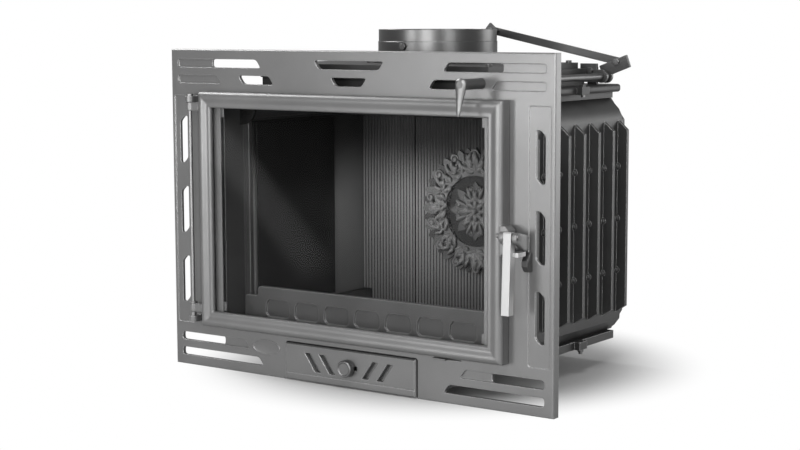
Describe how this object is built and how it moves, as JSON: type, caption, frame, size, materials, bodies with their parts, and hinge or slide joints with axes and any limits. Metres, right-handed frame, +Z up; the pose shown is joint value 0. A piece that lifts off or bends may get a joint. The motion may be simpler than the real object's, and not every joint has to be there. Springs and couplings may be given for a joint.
{
  "type": "fireplace insert",
  "caption": "Built-in cast-iron wood fireplace insert: slotted front plate, glazed hinged door, finned body, round flue collar with hand damper, ash drawer.",
  "frame": {"origin": "middle of the part's box, at floor height", "axes": "X to the right seen from the front, Y to the rear, Z up; the door faces -Y"},
  "size_m": [0.68, 0.444, 0.5262],
  "materials": {
    "plate_paint": "satin metallic grey paint",
    "body_iron": "matte black-grey cast iron",
    "collar_iron": "matte black cast iron",
    "plated_steel": "zinc plated",
    "fire_iron": "raw, heat-browned",
    "liner_iron": "matte grey",
    "ornament_iron": "matte grey",
    "sheet_steel": "dull galvanised sheet",
    "linkage_steel": "dull dark grey",
    "catch_steel": "satin",
    "door_glass": "clear ceramic glass",
    "seal_rope": "woven glass rope",
    "strip_steel": "dull grey",
    "handle_steel": "bright satin",
    "knob_steel": "satin turned"
  },
  "bodies": {
    "insert": {"front_plate": "plate_paint", "firebox_front": "body_iron", "side_panel_left": "body_iron", "side_panel_right": "body_iron", "rear_panel": "body_iron", "base_plate": "body_iron", "top_plate": "body_iron", "hood_cover": "body_iron", "flue_collar": "collar_iron", "collar_bolts": "plated_steel", "cover_bolts": "plated_steel", "tie_bolts": "plated_steel", "levelling_feet": "plated_steel", "foot_nuts": "plated_steel", "grate": "fire_iron", "baffle": "liner_iron", "rear_liner": "liner_iron", "rear_liner_left": "liner_iron", "rear_liner_right": "liner_iron", "side_liner_left": "liner_iron", "side_liner_right": "liner_iron", "oval_ornament": "ornament_iron", "drawer_housing": "sheet_steel", "damper_bracket": "linkage_steel", "bracket_bolt": "plated_steel", "door_catch": "catch_steel", "hinge_pin": "catch_steel", "slider_guides": "sheet_steel"},
    "door": {"door_frame": "plate_paint", "door_glass": "door_glass", "door_seal": "seal_rope", "glass_seal": "seal_rope", "glass_strips": "strip_steel", "glass_clips": "plated_steel", "clip_screws": "plated_steel", "handle_pin": "catch_steel"},
    "door_lever": {"door_handle": "handle_steel"},
    "damper_shaft": {"damper_handle": "handle_steel", "damper_rod": "handle_steel", "damper_crank": "linkage_steel", "crank_bolt": "plated_steel"},
    "link": {"damper_link": "linkage_steel"},
    "flap": {"damper_flap": "fire_iron", "flap_shaft": "catch_steel", "flap_crank": "linkage_steel", "flap_bolt": "plated_steel"},
    "drawer": {"drawer_front": "plate_paint", "ash_pan": "sheet_steel", "shutter_rails": "sheet_steel"},
    "shutter": {"air_shutter": "sheet_steel", "shutter_knob": "knob_steel"},
    "slider": {"air_slider": "catch_steel"},
    "guard": {"log_guard": "fire_iron"}
  },
  "joints": [
    {"name": "door_hinge", "type": "hinge", "parent": "insert", "child": "door", "pos_m": [-0.29, -0.18, 0.246], "axis": [0, 0, -1], "range_deg": [0, 100]},
    {"name": "door_lever_pivot", "type": "hinge", "parent": "door", "child": "door_lever", "pos_m": [0.2918, -0.198, 0.2465], "axis": [-1, 0, 0], "range_deg": [0, 60]},
    {"name": "damper_turn", "type": "hinge", "parent": "insert", "child": "damper_shaft", "pos_m": [0.224, -0.166, 0.446], "axis": [0, -1, 0], "range_deg": [0, 90]},
    {"name": "link_pivot", "type": "hinge", "parent": "damper_shaft", "child": "link", "pos_m": [0.2425, 0.189, 0.468], "axis": [0, -1, 0], "range_deg": [-90, 0]},
    {"name": "flap_turn", "type": "hinge", "parent": "insert", "child": "flap", "pos_m": [0, 0.061, 0.492], "axis": [0, -1, 0], "range_deg": [0, 90]},
    {"name": "drawer_slide", "type": "slide", "parent": "insert", "child": "drawer", "axis": [0, -1, 0], "range_m": [0, 0.26]},
    {"name": "shutter_slide", "type": "slide", "parent": "drawer", "child": "shutter", "axis": [1, 0, 0], "range_m": [0, 0.012]},
    {"name": "secondary_air_slide", "type": "slide", "parent": "insert", "child": "slider", "axis": [1, 0, 0], "range_m": [0, 0.02]},
    {"name": "guard_lift", "type": "slide", "parent": "insert", "child": "guard", "axis": [0, 0, 1], "range_m": [0, 0.05]}
  ],
  "couplings": [
    {"joint": "flap_turn", "follows": "damper_turn", "ratio": 1},
    {"joint": "link_pivot", "follows": "damper_turn", "ratio": -1}
  ]
}
